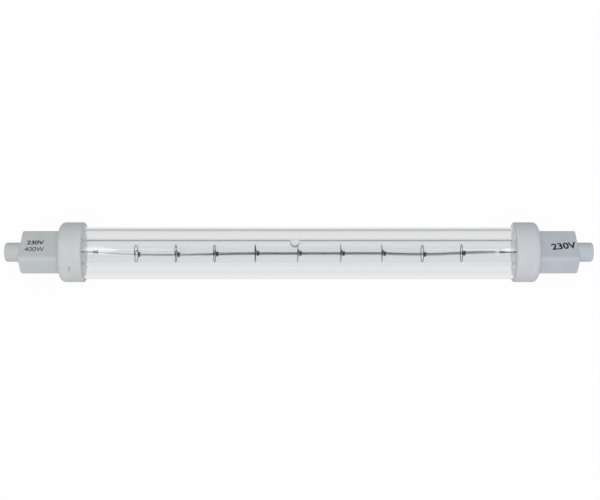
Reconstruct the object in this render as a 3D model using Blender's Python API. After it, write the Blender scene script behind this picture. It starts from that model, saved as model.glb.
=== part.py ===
"""Infrared heat lamp: a halogen tube in a clear quartz jacket, with ceramic collars and contact caps.

The origin is the lamp's centre. +X runs along the lamp, and +Z is square to the wide flats of the
contact caps. The lamp lies on its two round collars. Each end is modelled once, at +X, and the
other end is the same shape turned half round about Z. All values are in metres.
"""

import math

import bmesh
import bpy
from mathutils import Matrix, Vector

MM = 0.001

# Whole lamp
OVERALL_LENGTH = 220.0 * MM
FIT_GAP = 0.3 * MM
WIRE_GAP = 0.12 * MM
REST_GAP = 0.12 * MM
ROUND_SIDES = 40
ARC_STEPS = 3

# Contact caps: a block with rounded edges and a round tip
TIP_DIAMETER = 7.2 * MM
TIP_LENGTH = 6.0 * MM
TIP_ROUNDING = 0.8 * MM
BLOCK_WIDTH = 15.2 * MM
BLOCK_HEIGHT = 8.9 * MM
BLOCK_LENGTH = 14.5 * MM
BLOCK_CORNER = 1.6 * MM
BLOCK_END_ROUNDING = 0.7 * MM
BLOCK_FLOOR = 2.6 * MM
POCKET_CORNER = 0.5 * MM

# Contacts, at the bottom of a recess in each tip
RECESS_DIAMETER = 3.8 * MM
RECESS_DEPTH = 2.2 * MM
CONTACT_THICKNESS = 0.8 * MM
CONTACT_ROUNDING = 0.2 * MM
SHANK_DIAMETER = 1.8 * MM
SHANK_LENGTH = 2.5 * MM
SHANK_HOLE_DEPTH = 1.6 * MM

# Collars: a cup that holds the end of the jacket, with a slot in its floor
COLLAR_WALL = 0.78 * MM
COLLAR_LENGTH = 9.1 * MM
COLLAR_RIM_ROUNDING = 0.7 * MM
COLLAR_BACK_ROUNDING = 2.0 * MM
COLLAR_CUP_DEPTH = 5.0 * MM

# Clear outer jacket, loose in its collars
JACKET_DIAMETER = 19.4 * MM
JACKET_WALL = 1.1 * MM
JACKET_PLAY = 0.6 * MM
JACKET_END_ROUNDING = 0.35 * MM
EDGE_SHARE = 0.45

# Inner tube, pressed at each end to a flat seal as wide as the tube
TUBE_DIAMETER = 10.6 * MM
TUBE_WALL = 1.1 * MM
SEAL_WALL = 0.75 * MM
SEAL_CORNER = 0.9 * MM
SEAL_SET_BACK = 0.7 * MM
SHOULDER_LENGTH = 9.0 * MM
SHOULDER_STEPS = 6
TIP_OFF_X = -1.5 * MM
TIP_OFF_DIAMETER = 3.7 * MM
TIP_OFF_HEIGHT = 1.7 * MM
TIP_OFF_SIDES = 16
TIP_OFF_TILT = math.radians(10.0)

# Conductors in the seals, and the cement behind them
CEMENT_THICKNESS = 2.0 * MM
FOIL_WIDTH = 3.0 * MM
FOIL_THICKNESS = 0.1 * MM
FOIL_INSET = 2.5 * MM
FOIL_OVERLAP = 1.6 * MM
LEAD_DIAMETER = 0.6 * MM

# Sleeves that join the filament's tails to the inner leads
SLEEVE_SET_BACK = 0.9 * MM
SLEEVE_LENGTH = 1.8 * MM
SLEEVE_WALL = 0.2 * MM
SLEEVE_SIDES = 12

# Coiled filament, with a long straight tail at the left and a short one at the right
LEFT_TAIL = 15.2 * MM
RIGHT_TAIL = 2.6 * MM
COIL_DIAMETER = 0.95 * MM
COIL_WIRE = 0.3 * MM
COIL_PITCH = 1.2 * MM
COIL_STEPS_PER_TURN = 6

# Support wires: tight turns that grip the coil, and a loop that keeps it clear of the glass
SUPPORT_COUNT = 9
SUPPORT_SET_BACK = 15.0 * MM
SUPPORT_DRIFTS = (0.1, -0.3, -1.0, -1.1, -0.4, 0.4, 0.9, 0.5, 0.1)
SUPPORT_LEANS = (7.0, 1.0, 7.0, -1.6, 0.0, -1.6, -3.0, 4.0, -5.0)
LEAN_ACROSS = (0.0, -0.6, 0.8)
SUPPORT_WIRE = 0.28 * MM
LOOP_PLAY = 0.6 * MM
GRIP_TURNS = 3
GRIP_STEPS_PER_TURN = 8
GRIP_OFFSET = 0.45 * MM
LOOP_TURNS = 0.9
LOOP_STEPS = 18
ARM_TURNS = 0.5
ARM_STEPS = 6

# Places along the lamp, worked out from its end inwards
tip_end_x = OVERALL_LENGTH / 2
block_end_x = tip_end_x - TIP_LENGTH
block_start_x = block_end_x - BLOCK_LENGTH
collar_back_x = block_start_x - FIT_GAP
collar_rim_x = collar_back_x - COLLAR_LENGTH
cup_floor_x = collar_rim_x + COLLAR_CUP_DEPTH
jacket_end_x = cup_floor_x - FIT_GAP
pocket_floor_x = block_end_x - BLOCK_FLOOR
cement_end_x = pocket_floor_x - FIT_GAP
seal_end_x = cement_end_x - CEMENT_THICKNESS - FIT_GAP
seal_start_x = cup_floor_x + SEAL_SET_BACK
shoulder_start_x = seal_start_x - SHOULDER_LENGTH
recess_floor_x = tip_end_x - RECESS_DEPTH
contact_back_x = recess_floor_x + WIRE_GAP
contact_face_x = contact_back_x + CONTACT_THICKNESS
shank_end_x = contact_back_x - SHANK_LENGTH
sleeve_x = shoulder_start_x - SLEEVE_SET_BACK
sleeve_inner_x = sleeve_x - SLEEVE_LENGTH / 2
sleeve_outer_x = sleeve_x + SLEEVE_LENGTH / 2
coil_left_x = LEFT_TAIL - sleeve_x
coil_right_x = sleeve_x - RIGHT_TAIL
last_support_x = sleeve_x - SUPPORT_SET_BACK
foil_inner_x = seal_start_x + FOIL_INSET
foil_outer_x = seal_end_x - FOIL_INSET

# Sections that fit one inside another
tube_bore = TUBE_DIAMETER - 2 * TUBE_WALL
channel_width = FOIL_WIDTH + 2 * WIRE_GAP
channel_height = LEAD_DIAMETER + 2 * (FOIL_THICKNESS + 2 * WIRE_GAP)
seal_thickness = channel_height + 2 * SEAL_WALL
pocket_width = TUBE_DIAMETER + 2 * FIT_GAP
pocket_height = seal_thickness + 2 * FIT_GAP
cup_bore = JACKET_DIAMETER + 2 * (REST_GAP + JACKET_PLAY)
collar_diameter = cup_bore + 2 * COLLAR_WALL
contact_diameter = RECESS_DIAMETER - 2 * WIRE_GAP
shank_bore = SHANK_DIAMETER + 2 * WIRE_GAP
lead_hole = LEAD_DIAMETER + 2 * WIRE_GAP
foil_z = -(LEAD_DIAMETER / 2 + WIRE_GAP + FOIL_THICKNESS / 2)

# Longer than any wall, so that a cutter passes right through
CUT_PAST = 1.0 * MM

# Points round a section: of the inner tube, of a block and of a cutter
TUBE_SIDES = 32
BLOCK_SIDES = 20
CUTTER_SIDES = 16
SMOOTH_BELOW = math.radians(35.0)

CLEAR_QUARTZ = {"color": (0.93, 0.95, 0.96), "roughness": 0.02, "transmission": 1.0}
WHITE_CERAMIC = {"color": (0.62, 0.63, 0.62), "roughness": 0.55}
TUNGSTEN = {"color": (0.10, 0.10, 0.11), "roughness": 0.4, "metallic": 1.0}
MOLYBDENUM = {"color": (0.35, 0.35, 0.37), "roughness": 0.35, "metallic": 1.0}
NICKEL = {"color": (0.60, 0.58, 0.54), "roughness": 0.3, "metallic": 1.0}
CEMENT = {"color": (0.75, 0.73, 0.68), "roughness": 0.9}


def clear_scene():
    for obj in list(bpy.data.objects):
        bpy.data.objects.remove(obj, do_unlink=True)


def material_of(name, look):
    material = bpy.data.materials.new(name)
    material.use_nodes = True
    shader = material.node_tree.nodes["Principled BSDF"]
    shader.inputs["Base Color"].default_value = (*look["color"], 1.0)
    shader.inputs["Roughness"].default_value = look["roughness"]
    shader.inputs["Metallic"].default_value = look.get("metallic", 0.0)
    shader.inputs["Transmission Weight"].default_value = look.get("transmission", 0.0)
    return material


def object_of(name, data, look):
    """Links the data to the scene under this name, with a material of its own."""
    if look is not None:
        data.materials.append(material_of(name, look))
    obj = bpy.data.objects.new(name, data)
    bpy.context.scene.collection.objects.link(obj)
    return obj


def mesh_object(name, shape, look):
    """Turns a finished bmesh into an object, smooth over its round sides."""
    bmesh.ops.recalc_face_normals(shape, faces=shape.faces)
    mesh = bpy.data.meshes.new(name)
    shape.to_mesh(mesh)
    shape.free()
    mesh.shade_smooth()
    mesh.set_sharp_from_angle(angle=SMOOTH_BELOW)
    return object_of(name, mesh, look)


def arc(centre_x, centre_radius, radius, start, end):
    """Profile points of a rounded edge, as (x, radius), from one angle to another in degrees."""
    points = []
    for step in range(ARC_STEPS + 1):
        angle = math.radians(start + (end - start) * step / ARC_STEPS)
        points.append(
            (centre_x + radius * math.cos(angle), centre_radius + radius * math.sin(angle))
        )
    return points


def turned(name, profile, look, closed=False, sides=ROUND_SIDES):
    """A body turned about the X axis from a profile of (x, radius) points.

    An open profile starts and ends on the axis. A closed one is the section of a ring. The first
    side lies half a step round, so that a flat side and not an edge faces straight down.
    """
    shape = bmesh.new()
    first = math.pi / sides
    verts = [
        shape.verts.new((x, radius * math.sin(first), radius * math.cos(first)))
        for x, radius in profile
    ]
    edges = [shape.edges.new(pair) for pair in zip(verts, verts[1:])]
    if closed:
        edges.append(shape.edges.new((verts[-1], verts[0])))
    bmesh.ops.spin(
        shape,
        geom=verts + edges,
        cent=(0.0, 0.0, 0.0),
        axis=(1.0, 0.0, 0.0),
        angle=2 * math.pi,
        steps=sides,
        use_merge=True,
    )
    bmesh.ops.remove_doubles(shape, verts=shape.verts, dist=1e-7)
    return mesh_object(name, shape, look)


def rounded_rectangle(x, width, height, corner, sides=TUBE_SIDES):
    """A ring of points round a rectangle with round corners, square to the X axis."""
    per_corner = sides // 4
    ring = []
    for quarter in range(4):
        side_y = (1, -1, -1, 1)[quarter]
        side_z = (1, 1, -1, -1)[quarter]
        centre_y = side_y * (width / 2 - corner)
        centre_z = side_z * (height / 2 - corner)
        for step in range(per_corner):
            angle = math.pi / 2 * (quarter + step / (per_corner - 1))
            ring.append(
                Vector(
                    (x, centre_y + corner * math.cos(angle), centre_z + corner * math.sin(angle))
                )
            )
    return ring


def circle(x, radius, sides=TUBE_SIDES):
    """A ring of points round a circle, which pair off with those of a rounded rectangle."""
    ring = []
    for index in range(sides):
        angle = 2 * math.pi * (index + 0.5) / sides
        ring.append(Vector((x, radius * math.cos(angle), radius * math.sin(angle))))
    return ring


def lofted(name, rings, look):
    """A body skinned over rings of as many points each, with a flat face over each end."""
    shape = bmesh.new()
    rows = [[shape.verts.new(point) for point in ring] for ring in rings]
    for row, following in zip(rows, rows[1:]):
        for index in range(len(row)):
            after = (index + 1) % len(row)
            shape.faces.new((row[index], row[after], following[after], following[index]))
    shape.faces.new(rows[0])
    shape.faces.new(rows[-1])
    return mesh_object(name, shape, look)


def prism(
    name, start_x, end_x, width, height, corner, look=None, end_rounding=0.0, sides=CUTTER_SIDES
):
    """A bar along X with round corners, whose edges at end_x may be rounded too."""
    rings = [rounded_rectangle(start_x, width, height, corner, sides)]
    for step in range(ARC_STEPS + 1 if end_rounding else 1):
        angle = math.pi / 2 * step / ARC_STEPS
        inset = end_rounding * (1 - math.cos(angle))
        x = end_x - end_rounding * (1 - math.sin(angle))
        rings.append(
            rounded_rectangle(x, width - 2 * inset, height - 2 * inset, corner - inset, sides)
        )
    return lofted(name, rings, look)


def rod(name, start_x, end_x, diameter, look=None, sides=ROUND_SIDES // 2):
    radius = diameter / 2
    return turned(
        name, [(start_x, 0.0), (start_x, radius), (end_x, radius), (end_x, 0.0)], look, sides=sides
    )


def wire(name, points, diameter, look, roundness):
    """A wire along the points. Its section has 4 sides, and 2 more for each step of roundness."""
    curve = bpy.data.curves.new(name, "CURVE")
    curve.dimensions = "3D"
    curve.bevel_depth = diameter / 2
    curve.bevel_resolution = roundness
    curve.use_fill_caps = True
    spline = curve.splines.new("POLY")
    spline.points.add(len(points) - 1)
    for control, point in zip(spline.points, points):
        control.co = (*point, 1.0)
    return object_of(name, curve, look)


def combine(obj, other, operation):
    """Joins or cuts an object by a guide, which stays hidden."""
    other.hide_render = True
    other.display_type = "WIRE"
    step = obj.modifiers.new(other.name, "BOOLEAN")
    step.operation = operation
    step.object = other
    return obj


def other_end(obj, name):
    """The same piece at the lamp's left end, turned half round about Z."""
    copy = obj.copy()
    copy.data = obj.data.copy()
    copy.name = name
    copy.data.name = name
    copy.data.materials[0] = obj.data.materials[0].copy()
    copy.data.materials[0].name = name
    copy.rotation_euler = (0.0, 0.0, math.pi)
    bpy.context.scene.collection.objects.link(copy)
    return copy


def at_both_ends(piece, build):
    """Builds a piece at the right end, and copies it to the left with cutters of its own."""
    right = build("right_" + piece)
    left = other_end(right, "left_" + piece)
    for step in left.modifiers:
        guide = step.object.copy()
        guide.rotation_euler = (0.0, 0.0, math.pi)
        guide.name = "left_" + step.object.name
        bpy.context.scene.collection.objects.link(guide)
        step.object = guide


def jacket():
    """The clear outer tube, with melted edges. It lies low in its collars by its play."""
    outer = JACKET_DIAMETER / 2
    inner = outer - JACKET_WALL
    rounding = min(JACKET_END_ROUNDING, EDGE_SHARE * JACKET_WALL)
    profile = [
        *arc(jacket_end_x - rounding, inner + rounding, rounding, -90, 0),
        *arc(jacket_end_x - rounding, outer - rounding, rounding, 0, 90),
        *arc(rounding - jacket_end_x, outer - rounding, rounding, 90, 180),
        *arc(rounding - jacket_end_x, inner + rounding, rounding, 180, 270),
    ]
    obj = turned("outer_jacket", profile, CLEAR_QUARTZ, closed=True)
    obj.location.z = -JACKET_PLAY
    return obj


def blend(x):
    """How far the inner tube has gone from round, 0, to its flat seal, 1, at a place along it."""
    part = (abs(x) - shoulder_start_x) / SHOULDER_LENGTH
    part = min(max(part, 0.0), 1.0)
    return part * part * (3 - 2 * part)


def tube_section(x, round_diameter, flat_width, flat_height, corner):
    """A ring of the inner tube's outside or inside, between a circle and a rounded rectangle."""
    share = blend(x)
    flat = rounded_rectangle(x, flat_width, flat_height, corner)
    return [a.lerp(b, share) for a, b in zip(circle(x, round_diameter / 2), flat)]


def tube_stations(end_x):
    """Places of the rings along the inner tube, close together over the two shoulders."""
    half = [
        shoulder_start_x + SHOULDER_LENGTH * step / SHOULDER_STEPS
        for step in range(SHOULDER_STEPS + 1)
    ]
    half.append(end_x)
    return [-x for x in reversed(half)] + half


def inner_envelope():
    """The inner tube, pressed flat at each end round its foils, with the tip where it was sealed."""
    outside = [
        tube_section(x, TUBE_DIAMETER, TUBE_DIAMETER, seal_thickness, SEAL_CORNER)
        for x in tube_stations(seal_end_x)
    ]
    obj = lofted("inner_envelope", outside, CLEAR_QUARTZ)
    base = TUBE_DIAMETER / 2 - TUBE_WALL
    top = TUBE_DIAMETER / 2 + TIP_OFF_HEIGHT
    radius = TIP_OFF_DIAMETER / 2
    tip_off = turned(
        "tip_off_guide",
        [(base, 0.0), (base, radius), *arc(top - radius, 0.0, radius, 90, 0)],
        None,
        sides=TIP_OFF_SIDES,
    )
    tip_off.matrix_world = (
        Matrix.Translation((TIP_OFF_X, 0.0, 0.0))
        @ Matrix.Rotation(TIP_OFF_TILT, 4, "X")
        @ Matrix.Rotation(-math.pi / 2, 4, "Y")
    )
    combine(obj, tip_off, "UNION")
    inside = [
        tube_section(x, tube_bore, channel_width, channel_height, WIRE_GAP)
        for x in tube_stations(seal_end_x + CUT_PAST)
    ]
    combine(obj, lofted("tube_bore_guide", inside, None), "DIFFERENCE")


def collar(name):
    """A turned cup. The slot in its floor clears the tube's shoulder where it is thickest."""
    outer = collar_diameter / 2
    bore = cup_bore / 2
    rim = min(COLLAR_RIM_ROUNDING, outer - bore)
    profile = [
        (cup_floor_x, 0.0),
        (cup_floor_x, bore),
        (collar_rim_x, bore),
        *arc(collar_rim_x + rim, outer - rim, rim, 180, 90),
        *arc(collar_back_x - COLLAR_BACK_ROUNDING, outer - COLLAR_BACK_ROUNDING,
             COLLAR_BACK_ROUNDING, 90, 0),
        (collar_back_x, 0.0),
    ]
    obj = turned(name, profile, WHITE_CERAMIC)
    thickest = tube_section(
        cup_floor_x, TUBE_DIAMETER, TUBE_DIAMETER, seal_thickness, SEAL_CORNER
    )
    slot_width = 2 * (max(point.y for point in thickest) + FIT_GAP)
    slot_height = 2 * (max(point.z for point in thickest) + FIT_GAP)
    slot = prism(
        "slot_guide",
        cup_floor_x - CUT_PAST,
        collar_back_x + CUT_PAST,
        slot_width,
        slot_height,
        POCKET_CORNER,
    )
    return combine(obj, slot, "DIFFERENCE")


def contact_cap(name):
    """A ceramic block and tip, with a pocket for the seal and a recess for the contact."""
    block = prism(
        name,
        block_start_x,
        block_end_x,
        BLOCK_WIDTH,
        BLOCK_HEIGHT,
        BLOCK_CORNER,
        WHITE_CERAMIC,
        BLOCK_END_ROUNDING,
        sides=BLOCK_SIDES,
    )
    radius = TIP_DIAMETER / 2
    inside_block_x = block_end_x - BLOCK_FLOOR / 2
    tip = turned(
        "tip_guide",
        [
            (inside_block_x, 0.0),
            (inside_block_x, radius),
            *arc(tip_end_x - TIP_ROUNDING, radius - TIP_ROUNDING, TIP_ROUNDING, 90, 0),
            (tip_end_x, 0.0),
        ],
        None,
    )
    combine(block, tip, "UNION")
    pocket = prism(
        "pocket_guide",
        block_start_x - CUT_PAST,
        pocket_floor_x,
        pocket_width,
        pocket_height,
        POCKET_CORNER,
    )
    combine(block, pocket, "DIFFERENCE")
    recess = rod("recess_guide", recess_floor_x, tip_end_x + CUT_PAST, RECESS_DIAMETER)
    combine(block, recess, "DIFFERENCE")
    bore = rod("lead_bore_guide", pocket_floor_x - CUT_PAST, tip_end_x, shank_bore)
    return combine(block, bore, "DIFFERENCE")


def contact(name):
    """A metal button with a shank behind it, drilled for the end of the outer lead."""
    disc = contact_diameter / 2
    shank = SHANK_DIAMETER / 2
    hole = lead_hole / 2
    hole_end_x = shank_end_x + SHANK_HOLE_DEPTH
    profile = [
        (hole_end_x, 0.0),
        (hole_end_x, hole),
        (shank_end_x, hole),
        (shank_end_x, shank),
        (contact_back_x, shank),
        (contact_back_x, disc),
        (contact_face_x - CONTACT_ROUNDING, disc),
        (contact_face_x, disc - CONTACT_ROUNDING),
        (contact_face_x, 0.0),
    ]
    return turned(name, profile, NICKEL, sides=ROUND_SIDES // 2)


def cement(name):
    """The cement that fills the pocket behind the seal, with the outer lead through it."""
    plug = prism(
        name,
        seal_end_x + FIT_GAP,
        cement_end_x,
        pocket_width - 2 * FIT_GAP,
        pocket_height - 2 * FIT_GAP,
        POCKET_CORNER,
        CEMENT,
    )
    hole = rod(
        "cement_hole_guide", seal_end_x, pocket_floor_x, lead_hole, sides=ROUND_SIDES // 4
    )
    return combine(plug, hole, "DIFFERENCE")


def foil(name):
    """The thin strip that carries the current through the seal, under the ends of both leads."""
    half_width = FOIL_WIDTH / 2
    half_thickness = FOIL_THICKNESS / 2
    rings = []
    for x in (foil_inner_x, foil_outer_x):
        rings.append(
            [
                Vector((x, side_y * half_width, foil_z + side_z * half_thickness))
                for side_y, side_z in ((1, 1), (-1, 1), (-1, -1), (1, -1))
            ]
        )
    return lofted(name, rings, MOLYBDENUM)


def inner_lead(name):
    start_x = sleeve_x + WIRE_GAP
    end_x = foil_inner_x + FOIL_OVERLAP
    return wire(name, [(start_x, 0.0, 0.0), (end_x, 0.0, 0.0)], LEAD_DIAMETER, MOLYBDENUM, 2)


def outer_lead(name):
    start_x = foil_outer_x - FOIL_OVERLAP
    end_x = shank_end_x + SHANK_HOLE_DEPTH - WIRE_GAP
    return wire(name, [(start_x, 0.0, 0.0), (end_x, 0.0, 0.0)], LEAD_DIAMETER, NICKEL, 2)


def sleeve(name):
    """A short tube crimped over the end of the inner lead and the filament's tail."""
    inner = lead_hole / 2
    outer = inner + SLEEVE_WALL
    profile = [
        (sleeve_inner_x, inner),
        (sleeve_outer_x, inner),
        (sleeve_outer_x, outer),
        (sleeve_inner_x, outer),
    ]
    return turned(name, profile, MOLYBDENUM, closed=True, sides=SLEEVE_SIDES)


def filament():
    """One wire: a straight tail from the left sleeve, the coil, and a short tail at the right."""
    tail_end_x = sleeve_x - WIRE_GAP
    radius = (COIL_DIAMETER - COIL_WIRE) / 2
    turns = (coil_right_x - coil_left_x) / COIL_PITCH
    steps = round(turns * COIL_STEPS_PER_TURN)
    points = [Vector((-tail_end_x, 0.0, 0.0))]
    for step in range(steps + 1):
        x = coil_left_x + (coil_right_x - coil_left_x) * step / steps
        angle = 2 * math.pi * step / COIL_STEPS_PER_TURN
        swell = min(step, steps - step, COIL_STEPS_PER_TURN) / COIL_STEPS_PER_TURN
        points.append(
            Vector((x, swell * radius * math.cos(angle), swell * radius * math.sin(angle)))
        )
    points.append(Vector((tail_end_x, 0.0, 0.0)))
    wire("filament", points, COIL_WIRE, TUNGSTEN, 0)


def support_points(x, lean):
    """The line of a support wire: tight turns, an arm that winds outwards, and a leaning loop."""
    grip_radius = COIL_DIAMETER / 2 + WIRE_GAP + SUPPORT_WIRE / 2
    loop_radius = tube_bore / 2 - LOOP_PLAY - SUPPORT_WIRE / 2
    grip_pitch = SUPPORT_WIRE + WIRE_GAP
    across = Vector(LEAN_ACROSS)
    points = []

    def add(turn, radius, along, share):
        angle = 2 * math.pi * turn
        spoke = Vector((0.0, radius * math.cos(angle), radius * math.sin(angle)))
        spoke.x = x + along + share * math.tan(lean) * spoke.dot(across)
        points.append(spoke)

    for step in range(GRIP_TURNS * GRIP_STEPS_PER_TURN):
        turn = step / GRIP_STEPS_PER_TURN
        add(turn, grip_radius, GRIP_OFFSET + (GRIP_TURNS - turn) * grip_pitch, 0.0)
    for step in range(ARM_STEPS):
        share = step / ARM_STEPS
        radius = grip_radius + (loop_radius - grip_radius) * share
        add(GRIP_TURNS + ARM_TURNS * share, radius, GRIP_OFFSET * (1 - share), share)
    for step in range(LOOP_STEPS + 1):
        add(GRIP_TURNS + ARM_TURNS + LOOP_TURNS * step / LOOP_STEPS, loop_radius, 0.0, 1.0)
    return points


def supports():
    """The support wires, evenly spaced but for the small drift and lean that each has."""
    pitch = 2 * last_support_x / (SUPPORT_COUNT - 1)
    for index in range(SUPPORT_COUNT):
        drift = SUPPORT_DRIFTS[index % len(SUPPORT_DRIFTS)] * MM
        lean = math.radians(SUPPORT_LEANS[index % len(SUPPORT_LEANS)])
        x = index * pitch - last_support_x + drift
        wire(f"filament_support_{index + 1}", support_points(x, lean), SUPPORT_WIRE, TUNGSTEN, 0)


clear_scene()
jacket()
inner_envelope()
filament()
supports()
at_both_ends("collar", collar)
at_both_ends("contact_cap", contact_cap)
at_both_ends("contact", contact)
at_both_ends("cement", cement)
at_both_ends("foil", foil)
at_both_ends("inner_lead", inner_lead)
at_both_ends("outer_lead", outer_lead)
at_both_ends("crimp_sleeve", sleeve)
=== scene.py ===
"""The looks of the infrared heat lamp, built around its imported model. Metres, with the lamp along X.

Fine meshes stand for the glass, the ceramics and the wires that show through the glass. Their places
come from the boxes of the CAD nodes. What is sealed inside the ceramics keeps its own node.
"""

import math

import bmesh
import bpy
from mathutils import Matrix, Vector

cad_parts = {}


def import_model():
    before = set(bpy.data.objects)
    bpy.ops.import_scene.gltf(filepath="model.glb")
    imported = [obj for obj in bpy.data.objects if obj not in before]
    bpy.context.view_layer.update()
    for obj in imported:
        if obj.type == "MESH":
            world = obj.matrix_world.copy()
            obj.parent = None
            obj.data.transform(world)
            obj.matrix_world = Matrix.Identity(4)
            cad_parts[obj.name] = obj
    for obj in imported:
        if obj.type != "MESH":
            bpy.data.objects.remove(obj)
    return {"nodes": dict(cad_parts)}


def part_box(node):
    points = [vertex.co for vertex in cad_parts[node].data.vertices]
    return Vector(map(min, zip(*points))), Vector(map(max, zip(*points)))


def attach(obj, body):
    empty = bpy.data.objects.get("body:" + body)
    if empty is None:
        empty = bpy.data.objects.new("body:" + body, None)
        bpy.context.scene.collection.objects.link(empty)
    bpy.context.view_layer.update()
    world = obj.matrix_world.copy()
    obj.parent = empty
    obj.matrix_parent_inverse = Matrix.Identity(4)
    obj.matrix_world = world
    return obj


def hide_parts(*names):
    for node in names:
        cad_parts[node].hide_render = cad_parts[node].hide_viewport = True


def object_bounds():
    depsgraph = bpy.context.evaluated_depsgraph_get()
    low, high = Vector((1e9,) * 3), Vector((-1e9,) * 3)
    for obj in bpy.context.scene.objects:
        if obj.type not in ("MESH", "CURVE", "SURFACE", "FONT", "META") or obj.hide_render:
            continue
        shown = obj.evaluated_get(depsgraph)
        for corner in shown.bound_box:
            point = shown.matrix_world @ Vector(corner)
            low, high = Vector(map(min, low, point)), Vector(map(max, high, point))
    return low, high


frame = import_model()
cad_low, cad_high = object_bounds()

MM = 0.001

# Sizes that the part's source names or works out
CAD_SIDES = 40
CAD_CONTACT_SIDES = 20
FIT_GAP = 0.3 * MM
WIRE_GAP = 0.12 * MM
JACKET_WALL = 1.1 * MM
JACKET_END_ROUNDING = 0.35 * MM
TUBE_WALL = 1.1 * MM
SEAL_THICKNESS = 2.78 * MM
SEAL_CORNER = 0.9 * MM
SEAL_SET_BACK = 0.7 * MM
CHANNEL_WIDTH = 3.24 * MM
CHANNEL_HEIGHT = 1.28 * MM
CHANNEL_CORNER = 0.12 * MM
TIP_OFF_X = -1.5 * MM
COLLAR_WALL = 0.78 * MM
COLLAR_CUP_DEPTH = 5.0 * MM
COLLAR_RIM_ROUNDING = 0.7 * MM
COLLAR_BACK_ROUNDING = 2.0 * MM
SLOT_WIDTH = 11.2 * MM
BLOCK_LENGTH = 14.5 * MM
BLOCK_CORNER = 1.6 * MM
BLOCK_END_ROUNDING = 0.7 * MM
BLOCK_FLOOR = 2.6 * MM
TIP_DIAMETER = 7.2 * MM
TIP_ROUNDING = 0.8 * MM
POCKET_WIDTH = 11.2 * MM
POCKET_HEIGHT = 3.38 * MM
POCKET_CORNER = 0.5 * MM
RECESS_DIAMETER = 3.8 * MM
RECESS_DEPTH = 2.2 * MM
CONTACT_THICKNESS = 0.8 * MM
CONTACT_ROUNDING = 0.2 * MM
SHANK_DIAMETER = 1.8 * MM
SHANK_BORE = 2.04 * MM
SHANK_HOLE_DIAMETER = 0.84 * MM
SHANK_HOLE_DEPTH = 1.6 * MM
SLEEVE_WALL = 0.2 * MM
LEFT_TAIL = 15.2 * MM
RIGHT_TAIL = 2.6 * MM
SUPPORT_COUNT = 9
SUPPORT_SET_BACK = 15.0 * MM
SUPPORT_WIRE = 0.28 * MM
GRIP_TURNS = 3
ARM_TURNS = 0.5
LOOP_TURNS = 0.9
LEAN_ACROSS = Vector((0.0, -0.6, 0.8))

# The inner tube's shoulders and the low dome where it was sealed off
SHOULDER_LENGTH = 5.0 * MM
TIP_OFF_RADIUS = 1.78 * MM
TIP_OFF_HEIGHT = 1.1 * MM
TIP_OFF_FULLNESS = 0.5
TIP_OFF_TILT = math.radians(3.0)
TIP_OFF_LEAN = math.radians(36.0)
TIP_OFF_REACH = 1.1 * TIP_OFF_RADIUS

# A slight flat near each end of the tube: where it starts, the length over which it deepens, its depth
FLAT_ELEVATION = math.radians(55.5)
LEFT_FLAT = (67.0 * MM, 8.0 * MM, 0.24 * MM)
RIGHT_FLAT = (75.0 * MM, 3.0 * MM, 0.08 * MM)

# The coil, and how much looser it is wound towards its ends
COIL_DIAMETER = 1.25 * MM
COIL_WIRE = 0.2 * MM
COIL_PITCH = 0.4 * MM
LOOSE_DIAMETER = 0.95 * MM
LOOSE_PITCH = 0.55 * MM
LEFT_LOOSE_TO_X = -44.0 * MM
LEFT_FADE = 16.0 * MM
RIGHT_LOOSENESS = 0.5
RIGHT_FADE = 10.0 * MM

# How far the coil sags, with a belly in each half: its middle, its reach, its depth
SAG = 0.72 * MM
RIGHT_RUN = 24.0 * MM
LEFT_BELLY = (-51.0 * MM, 34.0 * MM, 0.72 * MM)
RIGHT_BELLY = (46.0 * MM, 18.0 * MM, 0.5 * MM)

# How far each support stands from its even place, in millimetres, and how its loop leans, in degrees
SUPPORT_DRIFTS = (0.1, -0.3, -1.1, -1.1, -0.45, 0.4, 0.55, 0.4, -0.2)
SUPPORT_LEANS = (-7.0, -3.0, -4.6, -1.0, 0.0, -1.6, -3.0, 5.0, 2.0)
LOOP_PLAY = 0.85 * MM
GRIP_PITCH = 0.29 * MM
GRIP_GAP = 0.02 * MM
GRIP_OFFSET = 0.6 * MM

# Crimp sleeves, with their flats as shares of the radius, and inner leads
SLEEVE_FLAT = 0.55
SLEEVE_END_FLAT = 0.8
SLEEVE_TURN = math.radians(-47.0)
VISIBLE_LEAD = 0.45 * MM
LEAD_ROUNDING = 0.08 * MM

# Edges of the ceramics, and the contacts' faces: their crown, and turned rings over a share of them
CUP_CORNER = 0.3 * MM
CUP_EDGE = 0.1 * MM
TIP_FILLET = 0.4 * MM
RECESS_LIP = 0.25 * MM
CONTACT_CROWN = 0.12 * MM
CROWN_SHARE = 0.88
TURNING_MARKS = 9
TURNING_MARK_DEPTH = 0.012 * MM

# A dent in each collar, as it is made at the right end: its place, the way it faces, length, depth
DENT_WIDTH = 0.65 * MM
LEFT_DENT = (84.5 * MM, math.radians(168.0), 3.0 * MM, 0.6 * MM)
RIGHT_DENT = (85.3 * MM, math.radians(14.0), 1.6 * MM, 0.12 * MM)

# Printed figures: the words, the centre, the width, the height, the turn and the weight
INK_THICKNESS = 0.016 * MM
MARKS = (
    ("230V", (-98.3 * MM, 0.8 * MM), 6.4 * MM, 2.05 * MM, 0.0, 0.03),
    ("400W", (-98.3 * MM, -2.6 * MM), 7.3 * MM, 2.2 * MM, 0.0, 0.0),
    ("230V", (98.6 * MM, -0.95 * MM), 9.3 * MM, 3.2 * MM, math.radians(6.0), 0.03),
)

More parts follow.
